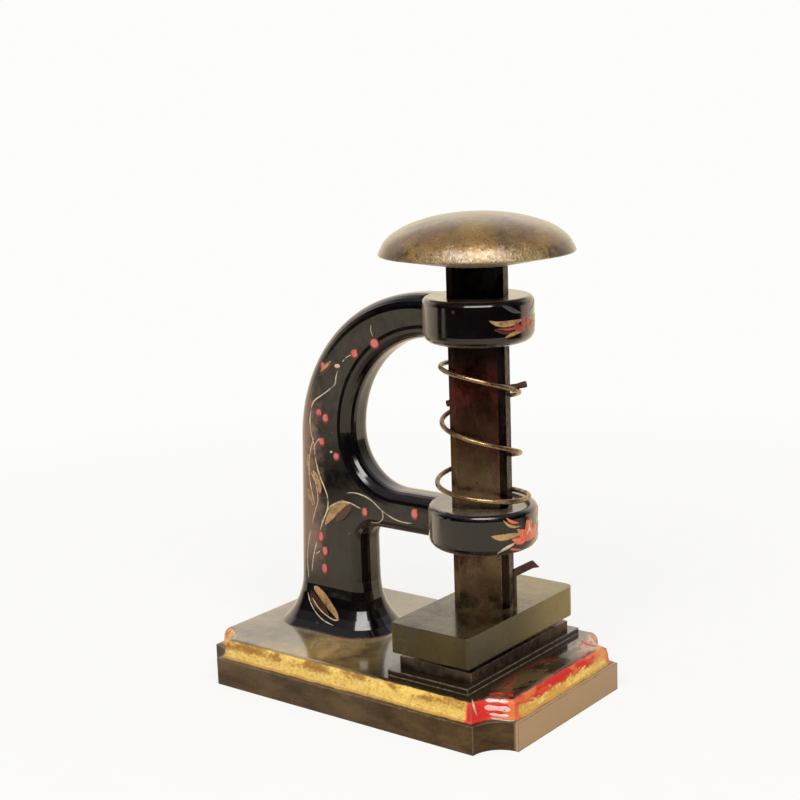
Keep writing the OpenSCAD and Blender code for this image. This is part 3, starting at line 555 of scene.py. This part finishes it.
def knobSurface():
    # A profile turned about the axis: flat seat, sloped underside, small round edge, then a quarter ellipse; the
    # casting's unevenness is a sum of slow waves that only takes material off.
    shape = knobShape
    edge = np.radians(np.linspace(-80, 8, 9))
    dome = np.radians(np.linspace(10, 90, 72))
    radius = np.concatenate([np.linspace(0, shape["seat"], 8), np.linspace(shape["seat"] + 0.4, shape["rim"], 14),
                             shape["rim"] + shape["edge"] * np.cos(edge), shape["rim"] * np.cos(dome)])
    slope = (shape["rimHeight"] - shape["edge"]) / (shape["rim"] - shape["seat"])
    height = np.concatenate([np.zeros(8), slope * np.linspace(0.4, shape["rim"] - shape["seat"], 14),
                             shape["rimHeight"] + shape["edge"] * np.sin(edge),
                             shape["rimHeight"] + shape["dome"] * np.sin(dome)])
    turn = np.linspace(0, 2 * np.pi, shape["around"], endpoint=False)[None, :]
    along = np.linspace(0, 1, len(radius))[:, None]
    waves = (np.sin(3 * turn + 7 * along) + np.sin(5 * turn - 11 * along + 1.3) + np.sin(9 * turn + 17 * along + 0.4)
             + np.sin(14 * turn - 23 * along)) / 4
    fade = np.clip(np.sin(np.pi * along), 0, 1)
    taken = shape["sink"] * (0.5 + 0.5 * waves) * fade
    out = np.maximum(radius[:, None] - 0.6 * taken, 0)
    out = np.where(radius[:, None] < 1e-9, 0, out)
    up = shape["foot"] + height[:, None] - taken * (height[:, None] > shape["rimHeight"])
    x = shape["axis"][0] + out * np.cos(turn)
    y = shape["axis"][1] + out * np.sin(turn)
    return np.stack([x, y, up + 0 * turn], axis=-1) * mm


knobPoints = knobSurface()
knobPiece = addPiece("knobDome", knobPoints, ringQuads(*knobPoints.shape[:2]), "knobIron", "plunger")
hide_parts("knob")

springShape = {"axis": 33.3, "seatHeight": 72.45, "rise": 46.95, "steps": 24, "step": 45.0, "seatPart": 0.185,
               "endPart": 0.07, "start": 27.4, "zeroStep": 19, "tilt": 0.9, "tiltTurn": 112.5, "radius": 13.2,
               "footSpread": 2.7, "wire": 1.7, "along": 900, "around": 14}


def springPath(along):
    # Left-hand coil: the turn runs evenly, the climb starts and ends flat, the foot coil is wider, and the free
    # coils lean a little.
    shape = springShape
    turn = np.radians(shape["start"] - shape["step"] * (along * shape["steps"] - shape["zeroStep"]))
    foot = np.where(along < 2 * shape["seatPart"], along ** 2 / (4 * shape["seatPart"]), along - shape["seatPart"])
    top = np.maximum(0, along - 1 + 2 * shape["endPart"]) ** 2 / (4 * shape["endPart"])
    climb = (foot - top) / (1 - shape["seatPart"] - shape["endPart"])
    lean = np.minimum(1, along / (2 * shape["seatPart"]))
    height = (shape["seatHeight"] + shape["rise"] * climb
              + shape["tilt"] * np.cos(turn + np.radians(shape["tiltTurn"] - shape["start"])) * lean)
    radius = shape["radius"] + shape["footSpread"] * np.clip((0.36 - along) / 0.1, 0, 1)
    return np.stack([shape["axis"] + radius * np.cos(turn), radius * np.sin(turn), height], axis=-1)


def tubeSurface(path, radii, around):
    # A round section carried along a path: each ring lies across the path's direction.
    ahead = np.gradient(path, axis=0)
    ahead /= np.linalg.norm(ahead, axis=1, keepdims=True)
    side = np.cross(ahead, np.array([0.0, 0.0, 1.0]))
    side /= np.linalg.norm(side, axis=1, keepdims=True)
    over = np.cross(side, ahead)
    turn = np.linspace(0, 2 * np.pi, around, endpoint=False)
    ring = (np.cos(turn)[None, :, None] * side[:, None, :] + np.sin(turn)[None, :, None] * over[:, None, :])
    return path[:, None, :] + radii[:, None, None] * ring


roundEnd = np.array([0, 0.7, 0.92, 1])
batteredEnd = np.array([0, 0.72, 0.9, 1])


def endRounded(radii, shares):
    radii[:4] *= shares
    radii[-4:] *= shares[::-1]
    return radii


def springSurface():
    # Wire of even thickness whose two cut ends are closed by short rounded caps.
    shape = springShape
    cap = np.array([0, 0.0002, 0.0006, 0.0012])
    along = np.concatenate([cap, np.linspace(0.002, 0.998, shape["along"]), 1 - cap[::-1]])
    radii = endRounded(np.full(len(along), shape["wire"] / 2), roundEnd)
    return tubeSurface(springPath(along), radii, shape["around"]) * mm


springPoints = springSurface()
springPiece = addPiece("springCoil", springPoints, ringQuads(*springPoints.shape[:2]), "springWire", None)
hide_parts("spring")
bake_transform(springPiece)

pinShape = {"turn": 27.4, "slope": 14.2, "length": 28.4, "shift": 2.2, "thick": 2.3, "around": 28,
            "groove": 0.18, "bearing": 25.4, "grooveLong": 1.3, "clear": 0.05, "coilReach": 1.0396}


def pinSurface():
    # A straight rod with battered round ends, on the line through the bar.
    shape = pinShape
    turn, slope = math.radians(shape["turn"]), math.radians(shape["slope"])
    atPin = springShape["zeroStep"] / springShape["steps"]
    coilHeight = springPath(np.array([atPin]))[0, 2]
    middle = (coilHeight + (springShape["wire"] + shape["thick"]) / 2 / math.cos(slope) + shape["clear"]
              - shape["coilReach"] * springShape["radius"] * math.tan(slope))
    lean = np.array([math.cos(turn) * math.cos(slope), math.sin(turn) * math.cos(slope), math.sin(slope)])
    reach = np.concatenate([[0, 0.02, 0.12, 0.35], np.linspace(0.8, shape["length"] - 0.8, 40),
                            shape["length"] - np.array([0.35, 0.12, 0.02, 0])])
    radii = np.full(len(reach), shape["thick"] / 2) * (1 - 0.02 * (1 + np.sin(reach * 2.1)))
    radii = endRounded(radii, batteredEnd)
    # the coil has worn a shallow groove where it bears
    radii -= shape["groove"] * np.exp(-((reach - shape["bearing"]) / shape["grooveLong"]) ** 2)
    centre = np.array([springShape["axis"], 0.0, middle]) + shape["shift"] * lean
    path = centre + (reach[:, None] - shape["length"] / 2) * lean
    return tubeSurface(path, radii, shape["around"]) * mm


pinPoints = pinSurface()
pinPiece = addPiece("pinRod", pinPoints, ringQuads(*pinPoints.shape[:2]), "rustySteel", "plunger")
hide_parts("spring_pin")
print("knob, spring and pin made")


def joinedCastings():
    # The frame and the base as one list of corners and faces, for laying paint on them.
    corners, faces = [], []
    for name in ("frame", "base"):
        mesh = nodes[name].data
        offset = len(corners)
        corners.extend(tuple(vertex.co) for vertex in mesh.vertices)
        faces.extend([index + offset for index in polygon.vertices] for polygon in mesh.polygons)
    return corners, faces


castingCorners, castingFaces = joinedCastings()
castings = BVHTree.FromPolygons(castingCorners, castingFaces)
right, up, forward = cameraAxes()


# Height of each paint in millimetres, and how a stroke is cut: points along, columns across, millimetres per pixel.
ornamentLook = {"lift": {"creamPaintAndGlint": 0.06, "leafPaint": 0.05, "berryShade": 0.04, "berryPaint": 0.09,
                         "flowerPaint": 0.08, "emberPaint": 0.08, "ghostPaint": 0.03, "rustPaint": 0.01,
                         "redPaint": 0.04, "pinkPaintAndGlint": 0.1},
                "long": 26, "short": 16, "columns": 7, "pixel": 0.35, "rise": 0.02, "keel": 0.08}


def onCasting(u, v):
    # The point of the castings seen at a pixel of the photograph, and the surface's normal there.
    middle = cameraPose["frame"] / 2
    look = (forward + (u - middle) / cameraPose["focal"] * right - (v - middle) / cameraPose["focal"] * up)
    return castings.ray_cast(Vector(cameraPose["place"]), look.normalized())[:2]


def smoothPath(points, count):
    # A Catmull-Rom curve through the points, evenly stepped.
    points = np.array(points, dtype=float)
    padded = np.concatenate([2 * points[:1] - points[1:2], points, 2 * points[-1:] - points[-2:-1]])
    where = np.linspace(0, len(points) - 1, count)
    index = np.minimum(where.astype(int), len(points) - 2)
    t = (where - index)[:, None]
    a, b, c, d = (padded[index + k] for k in range(4))
    return 0.5 * (2 * b + (c - a) * t + (2 * a - 5 * b + 4 * c - d) * t ** 2 + (3 * b - a - 3 * c + d) * t ** 3)


def strokeSheet(picks, width, form):
    # A flat ribbon on the castings: its middle line is seen through the picks, its width swells by the form.
    count = ornamentLook["long"] if len(picks) > 2 else ornamentLook["short"]
    pixels = smoothPath(picks, count)
    along = np.linspace(0, 1, count)
    if form == "disc":
        along = 0.5 - 0.5 * np.cos(np.pi * along)
        pixels = np.array(picks[:1]) + along[:, None] * (np.array(picks[1:]) - np.array(picks[:1]))
    found = [onCasting(*pixel) for pixel in pixels.tolist()]
    found = [item for item in found if item[0] is not None]
    if len(found) < count:
        print("stroke misses the castings:", picks[0])
        return None
    centre = np.array([item[0] for item in found])
    normal = np.array([item[1] for item in found])
    ahead = np.gradient(centre, axis=0)
    side = np.cross(normal, ahead)
    side /= np.maximum(np.linalg.norm(side, axis=1, keepdims=True), 1e-12)
    if form == "line":
        swell = np.minimum(1, 6 * np.minimum(along, 1 - along)) ** 0.5 * (0.85 + 0.15 * np.sin(9 * along))
    elif form == "disc":
        swell = np.sqrt(np.maximum(0, 1 - (2 * along - 1) ** 2))
    elif form == "drop":
        swell = np.sin(np.pi * along ** 0.6) ** 0.8
    else:
        swell = np.sin(np.pi * along) ** 0.75
    across = np.linspace(-1, 1, ornamentLook["columns"])
    half = 0.5 * width * ornamentLook["pixel"] * mm
    return centre[:, None, :] + half * swell[:, None, None] * across[None, :, None] * side[:, None, :]


def layOn(sheets, name):
    # The sheets pressed on the castings: nearest points of the surface, with their normals.
    target = newObject("pressTarget", bpy.data.meshes.new("pressTarget"))
    target.data.from_pydata(castingCorners, [], castingFaces)
    flat = np.concatenate([sheet.reshape(-1, 3) for sheet in sheets])
    mesh = bpy.data.meshes.new(name + "Flat")
    starts = np.cumsum([0] + [sheet.shape[0] * sheet.shape[1] for sheet in sheets])
    quads = [sheetQuads(sheet.shape[0], sheet.shape[1]) + start for sheet, start in zip(sheets, starts)]
    mesh.from_pydata(flat.tolist(), [], np.concatenate(quads).tolist())
    piece = newObject(name + "Flat", mesh)
    press = piece.modifiers.new("press", "SHRINKWRAP")
    press.target = target
    graph = bpy.context.evaluated_depsgraph_get()
    pressed = piece.evaluated_get(graph).to_mesh()
    places = np.empty(len(pressed.vertices) * 3)
    pressed.vertices.foreach_get("co", places)
    normals = np.empty(len(pressed.vertices) * 3)
    pressed.vertex_normals.foreach_get("vector", normals)
    piece.evaluated_get(graph).to_mesh_clear()
    for extra in (piece, target):
        data = extra.data
        bpy.data.objects.remove(extra)
        bpy.data.meshes.remove(data)
    shapes = [sheet.shape for sheet in sheets]
    return [tuple(rows.reshape(-1, 3)[start:start + shape[0] * shape[1]].reshape(shape) for rows in (places, normals))
            for start, shape in zip(starts, shapes)]


def sheetQuads(rows, columns):
    row = np.arange(rows - 1)[:, None]
    column = np.arange(columns - 1)[None, :]
    first = row * columns + column
    return np.stack([first, first + columns, first + columns + 1, first + 1], axis=-1).reshape(-1, 4)


def paintStroke(places, normals, thick):
    # A closed lens-shaped stroke: a low dome above the surface and a shallow keel inside it.
    across = np.linspace(-1, 1, places.shape[1])
    dome = (ornamentLook["rise"] + thick * np.sqrt(np.maximum(0, 1 - across ** 2))) * mm
    above = places + normals * dome[None, :, None]
    below = places - normals * ornamentLook["keel"] * mm
    return np.concatenate([above, below[:, ::-1][:, 1:-1]], axis=1)


# Every stroke in runs of one paint and one form: width in pixels of the photograph, and the pixels its middle
# line runs through.
strokeRuns = [
    ("creamPaintAndGlint", "line", [
        (1.6, [(338, 370), (336, 377), (335, 384), (330, 389), (322, 395), (314, 401), (311, 409)]),
        (1.4, [(311, 410), (310, 420), (311, 432), (314, 445), (315, 456)]),
        (1.4, [(320, 438), (316, 443), (313, 450)]),
        (2.0, [(315, 456), (317, 466), (320, 477), (325, 489), (328, 500), (327, 511), (323, 521), (320, 531)]),
        (1.3, [(311, 472), (315, 481), (317, 490), (318, 500), (315, 512), (312, 524)]),
        (1.8, [(326, 514), (330, 507), (337, 503), (346, 502), (354, 505), (361, 509)]),
        (1.6, [(346, 493), (355, 493), (364, 496), (372, 501), (379, 508), (386, 514), (396, 520), (406, 523),
               (412, 523)]),
        (1.3, [(381, 509), (383, 515), (382, 520), (377, 523), (371, 522)]),
        (1.5, [(317, 541), (315, 550), (313, 560), (312, 572)]),
        (1.3, [(316, 554), (320, 551)]),
        (1.4, [(312, 597), (318, 607), (326, 615), (334, 620), (339, 620)]),
        (1.2, [(371, 325), (371, 331), (373, 337)]),
        (1.2, [(342, 362), (347, 357), (351, 355)])]),
    ("creamPaintAndGlint", "disc", [(4.4, [(334.5, 366), (340, 366)]), (2.4, [(330, 452), (332.4, 452)])]),
    ("leafPaint", "leaf", [(11.0, [(325, 525), (330, 517), (336, 509), (343, 504), (349, 504)])]),
    ("leafPaint", "drop", [(9.0, [(314, 586), (321, 594), (329, 605), (336, 615), (338, 621)])]),
    ("leafPaint", "leaf", [
        (8.0, [(313, 470), (316, 478), (319, 487), (320, 494)]),
        (4.0, [(320, 372), (326, 366), (331, 361)])]),
    ("rustPaint", "leaf", [
        (12.0, [(352, 503), (347, 509), (341, 516), (336, 522)]),
        (10.0, [(311, 590), (315, 600), (322, 609), (329, 616)]),
        (6.0, [(319, 376), (326, 370), (333, 362)])]),
    # the vine along the column's outer edge
    ("creamPaintAndGlint", "line", [(1.6, [(314, 437), (310.6, 450), (309, 463), (309.5, 477), (312, 492), (315, 505)])]),
    ("leafPaint", "leaf", [
        (5.0, [(308, 488), (310, 497), (313.5, 506)]),
        (4.0, [(309, 451), (308, 461), (310, 471)])]),
    ("creamPaintAndGlint", "line", [
        (1.3, [(311, 529), (308.5, 543), (307.5, 560), (309, 578)]),
        (1.3, [(308, 592), (310, 601), (315, 611), (323, 620), (334, 626)])]),
    # upper boss
    ("rustPaint", "leaf", [(7.0, [(494, 330), (504, 331), (514, 329), (524, 327)])]),
    ("leafPaint", "leaf", [
        (6.0, [(489, 321), (497, 324), (507, 324), (516, 322), (523, 319)]),
        (3.6, [(505, 338), (511, 335), (517, 332.6), (523, 331)])]),
    ("ghostPaint", "leaf", [(4.4, [(502, 306), (508, 308), (514, 311), (521, 313)])]),
    ("emberPaint", "leaf", [
        (8.0, [(527, 314.5), (527.6, 322), (526.5, 329)]),
        (8.0, [(532, 318), (531, 325), (527, 329.5)]),
        (2.4, [(498, 329), (507, 329.5), (516, 328), (523, 326)])]),
    # lower boss
    ("leafPaint", "leaf", [(7.0, [(491, 536.5), (500, 538), (510, 536.5), (523, 533)])]),
    ("creamPaintAndGlint", "leaf", [(3.4, [(497, 554), (504, 549.6), (511, 545.6), (515, 543)])]),
    ("leafPaint", "leaf", [(3.0, [(503, 520), (508, 525), (514, 527), (521, 526)])]),
    ("flowerPaint", "leaf", [
        (12.0, [(531, 518), (529, 528), (526, 538)]),
        (12.0, [(535.5, 523), (533, 532), (528, 540)]),
        (12.0, [(532, 554), (530, 546), (526.5, 537)]),
        (10.0, [(523.5, 556), (524, 548), (525.5, 538)]),
        (9.0, [(514, 542), (520.5, 540.5), (528, 538)])]),
    ("leafPaint", "leaf", [(5.0, [(517, 529), (522, 533.5), (527.5, 537.5)])]),
    ("pinkPaintAndGlint", "leaf", [
        (3.0, [(529.6, 523), (528.6, 529), (526.5, 535)])]),
    ("flowerPaint", "leaf", [
        (5.0, [(512, 540), (518, 540), (524, 539)]),
        (3.0, [(506, 518), (512, 522), (519, 523)]),
        (3.6, [(510, 549), (516, 550), (523, 550)])]),
    # base: the near notch, red paint with pink and cream strokes that are painted highlights on its glossy moulding
    ("redPaint", "line", [(6.0, [(489, 694), (498, 693), (508, 694), (513, 696)])]),
    ("pinkPaintAndGlint", "line", [
        (5.0, [(485, 700), (496, 700.5), (509, 702)]),
        (6.4, [(484, 707.5), (497, 708.5), (511, 710)]),
        (3.0, [(489, 714), (499, 715.4), (509, 716)])]),
    ("creamPaintAndGlint", "line", [(2.4, [(491, 718), (502, 720), (515, 721)])]),
    ("creamPaintAndGlint", "leaf", [(2.6, [(472, 699), (474, 707), (477, 716)])]),
]
strokes = [(finish, width, form, picks) for finish, form, run in strokeRuns for width, picks in run]

# Berries: middle in pixels of the photograph, width and height.
berries = [(319, 412.5, 7.5, 8), (325.5, 418, 7.5, 9), (321.8, 441.5, 7.5, 9), (336.4, 456.5, 7, 7.5),
           (374.5, 343.5, 9.5, 10), (354.5, 353.5, 8.5, 9.5), (364.8, 512, 7, 9), (414.6, 514, 8, 11),
           (321, 536.5, 7, 10), (325.2, 551, 7, 9.5), (324.8, 568.5, 7, 10), (323, 366, 5.5, 8)]
for acrossPick, downPick, wide, tall in berries:
    strokes.append(("berryShade", 1.15 * wide + 1.4, "disc",
                    [(acrossPick, downPick - tall / 2 - 0.4), (acrossPick + 0.3, downPick + tall / 2 + 1.0)]))
    strokes.append(("berryPaint", 1.15 * wide - 0.8, "disc",
                    [(acrossPick - 0.2, downPick - tall / 2 + 0.6), (acrossPick, downPick + tall / 2 - 1.0)]))


def paintOrnament():
    for finish in ornamentLook["lift"]:
        sheets = [strokeSheet(picks, width, form) for kind, width, form, picks in strokes if kind == finish]
        sheets = [sheet for sheet in sheets if sheet is not None]
        mirrored = [sheet[:, ::-1] * np.array([1, -1, 1]) for sheet in sheets]
        pressed = layOn(sheets + mirrored, finish)
        points, quads, start = [], [], 0
        for places, normals in pressed:
            closed = paintStroke(places, normals, ornamentLook["lift"][finish])
            points.append(closed.reshape(-1, 3))
            quads.append(ringQuads(closed.shape[0], closed.shape[1]) + start)
            start += closed.shape[0] * closed.shape[1]
        addPiece(finish + "Strokes", np.concatenate(points), np.concatenate(quads), finish, "stand")
        print(finish, "strokes:", len(pressed))


paintOrnament()


stageLook = {"size": 8.0, "lampTarget": (0.01, 0.0, 0.08), "white": (0.985, 0.98, 0.965),
             "warm": (1.0, 0.86, 0.64), "cool": (0.92, 0.9, 0.92), "fill": 0.46, "dark": 0.01,
             "over": 0.3, "table": 0.75, "tableMiddle": (0.12, -0.15), "tableReach": (0.29, 0.33),
             "shade": (0.07, 0.14, 0.45), "behind": (-0.01, 0.06), "toCamera": (0.614, -0.789),
             "strip": {"half": (0.075, 0.045), "start": (-0.21, -0.30), "level": 0.9}}


def behindMachine(tree, axes):
    # Distance along the level line of sight, away from the camera.
    right, back = stageLook["toCamera"]
    return minus(tree, times(tree, axes[1], -back), times(tree, axes[0], right))


def makeFloor():
    # A white table that ends softly in front: white to the camera, lit like paper, and seen in the varnish.
    size = stageLook["size"]
    corners = np.array([(-size, -size, 0), (size, -size, 0), (size, size, 0), (-size, size, 0)])
    mesh = bpy.data.meshes.new("floor")
    mesh.from_pydata(corners.tolist(), [], [(0, 1, 2, 3)])
    floor = newObject("floor", mesh)
    material = bpy.data.materials.new("floorPaper")
    material.use_nodes = True
    tree = material.node_tree
    tree.nodes.clear()
    place = put(tree, "NewGeometry").outputs["Position"]
    grain = span(tree, noise(tree, place, 90.0, 5.0), 0.3, 0.7, 0.86, 0.9)
    lit = put(tree, "BsdfDiffuse", {"Color": put(tree, "CombineColor", {0: grain, 1: grain, 2: grain}).outputs[0]})
    axes = axesOf(tree, place)
    fromMiddle = put(tree, "VectorMath", {0: place, 1: (*stageLook["tableMiddle"], 0.0)}, operation="DISTANCE")
    table = span(tree, fromMiddle.outputs["Value"], *stageLook["tableReach"][::-1], 0.0, stageLook["table"])
    across = minus(tree, times(tree, axes[0], -stageLook["toCamera"][1]),
                   times(tree, axes[1], stageLook["toCamera"][0]))
    behind = behindMachine(tree, axes)
    strip = allOf(tree, span(tree, maths(tree, "ABSOLUTE", across), *stageLook["strip"]["half"]),
                  span(tree, behind, 0.0, -0.05), span(tree, axes[0], *stageLook["strip"]["start"], 0.0,
                                                       stageLook["strip"]["level"]))
    table = maths(tree, "MAXIMUM", maths(tree, "MAXIMUM", table, strip), span(tree, behind, *stageLook["behind"]))
    away = put(tree, "VectorMath", {0: place}, operation="LENGTH").outputs["Value"]
    near, clear, level = stageLook["shade"]
    table = times(tree, table, span(tree, away, near, clear, level, 1.0))
    table = maths(tree, "MAXIMUM", table, stageLook["dark"])
    far = span(tree, away, 0.1, 0.5, 0.8, 1.0)
    path = put(tree, "LightPath").outputs
    seen = put(tree, "Emission", {"Color": (*stageLook["white"], 1.0)})
    shown = put(tree, "Emission", {"Color": (*stageLook["warm"], 1.0), "Strength": table})
    forCamera = put(tree, "MixShader", {0: far, 1: lit.outputs[0], 2: seen.outputs[0]})
    glossy = put(tree, "MixShader", {0: maths(tree, "MAXIMUM", path["Is Glossy Ray"], path["Is Transmission Ray"]),
                                     1: lit.outputs[0], 2: shown.outputs[0]})
    final = put(tree, "MixShader", {0: path["Is Camera Ray"], 1: glossy.outputs[0], 2: forCamera.outputs[0]})
    tree.links.new(final.outputs[0], put(tree, "OutputMaterial").inputs[0])
    material.cycles.emission_sampling = "NONE"  # the glow is for reflections only, never a lamp
    mesh.materials.append(material)


def makeWorld():
    # Plain grey light; the varnish sees a white sweep behind, a dim room above and darkness in front.
    world = bpy.data.worlds.new("studio")
    bpy.context.scene.world = world
    world.use_nodes = True
    tree = world.node_tree
    tree.nodes.clear()
    way = put(tree, "TexCoord").outputs["Generated"]
    axes = axesOf(tree, way)
    behind = behindMachine(tree, axes)
    sweep = times(tree, span(tree, behind, 0.1, 0.55), span(tree, axes[2], 0.95, 0.45))
    overhead = times(tree, span(tree, axes[2], 0.3, 0.8), stageLook["over"])
    room = maths(tree, "MAXIMUM", maths(tree, "MAXIMUM", sweep, overhead), stageLook["dark"])
    path = put(tree, "LightPath").outputs
    mirror = maths(tree, "MAXIMUM", path["Is Glossy Ray"], path["Is Transmission Ray"])
    level = put(tree, "Mix", {0: mirror, 2: stageLook["fill"], 3: room}, data_type="FLOAT").outputs[0]
    level = put(tree, "Mix", {0: path["Is Camera Ray"], 2: level, 3: 1.0}, data_type="FLOAT").outputs[0]
    tone = mixed(tree, span(tree, axes[2], 0.15, 0.55), (*stageLook["warm"], 1.0), (*stageLook["cool"], 1.0))
    tone = mixed(tree, mirror, (*stageLook["white"], 1.0), tone)
    light = put(tree, "Background", {"Color": tone, "Strength": level})
    tree.links.new(light.outputs[0], put(tree, "OutputWorld").inputs[0])
    world.cycles.sampling_method = "NONE"  # so that glossy rays find their own colours


lamps = {
    # direction it comes from, distance, width, height, power, colour, seen in the gloss
    "side": ((-0.55, -0.60, 0.60), 1.2, 0.6, 0.5, 1.0, (1.0, 0.98, 0.96), False),
    "window": ((0.42, -0.58, 0.76), 1.2, 1.05, 0.55, 13.0, (1.0, 0.98, 0.93), True),
}


def addLamps():
    target = Vector(stageLook["lampTarget"])
    for name, (way, distance, width, height, power, colour, gloss) in lamps.items():
        lamp = bpy.data.lights.new(name, "AREA")
        lamp.shape, lamp.size, lamp.size_y, lamp.energy, lamp.color = "RECTANGLE", width, height, power, colour
        holder = newObject(name, lamp)
        way = Vector(way).normalized()
        holder.location = target + distance * way
        holder.rotation_euler = way.to_track_quat("Z", "Y").to_euler()
        holder.visible_glossy = gloss


makeFloor()
makeWorld()
addLamps()
print("stage made")
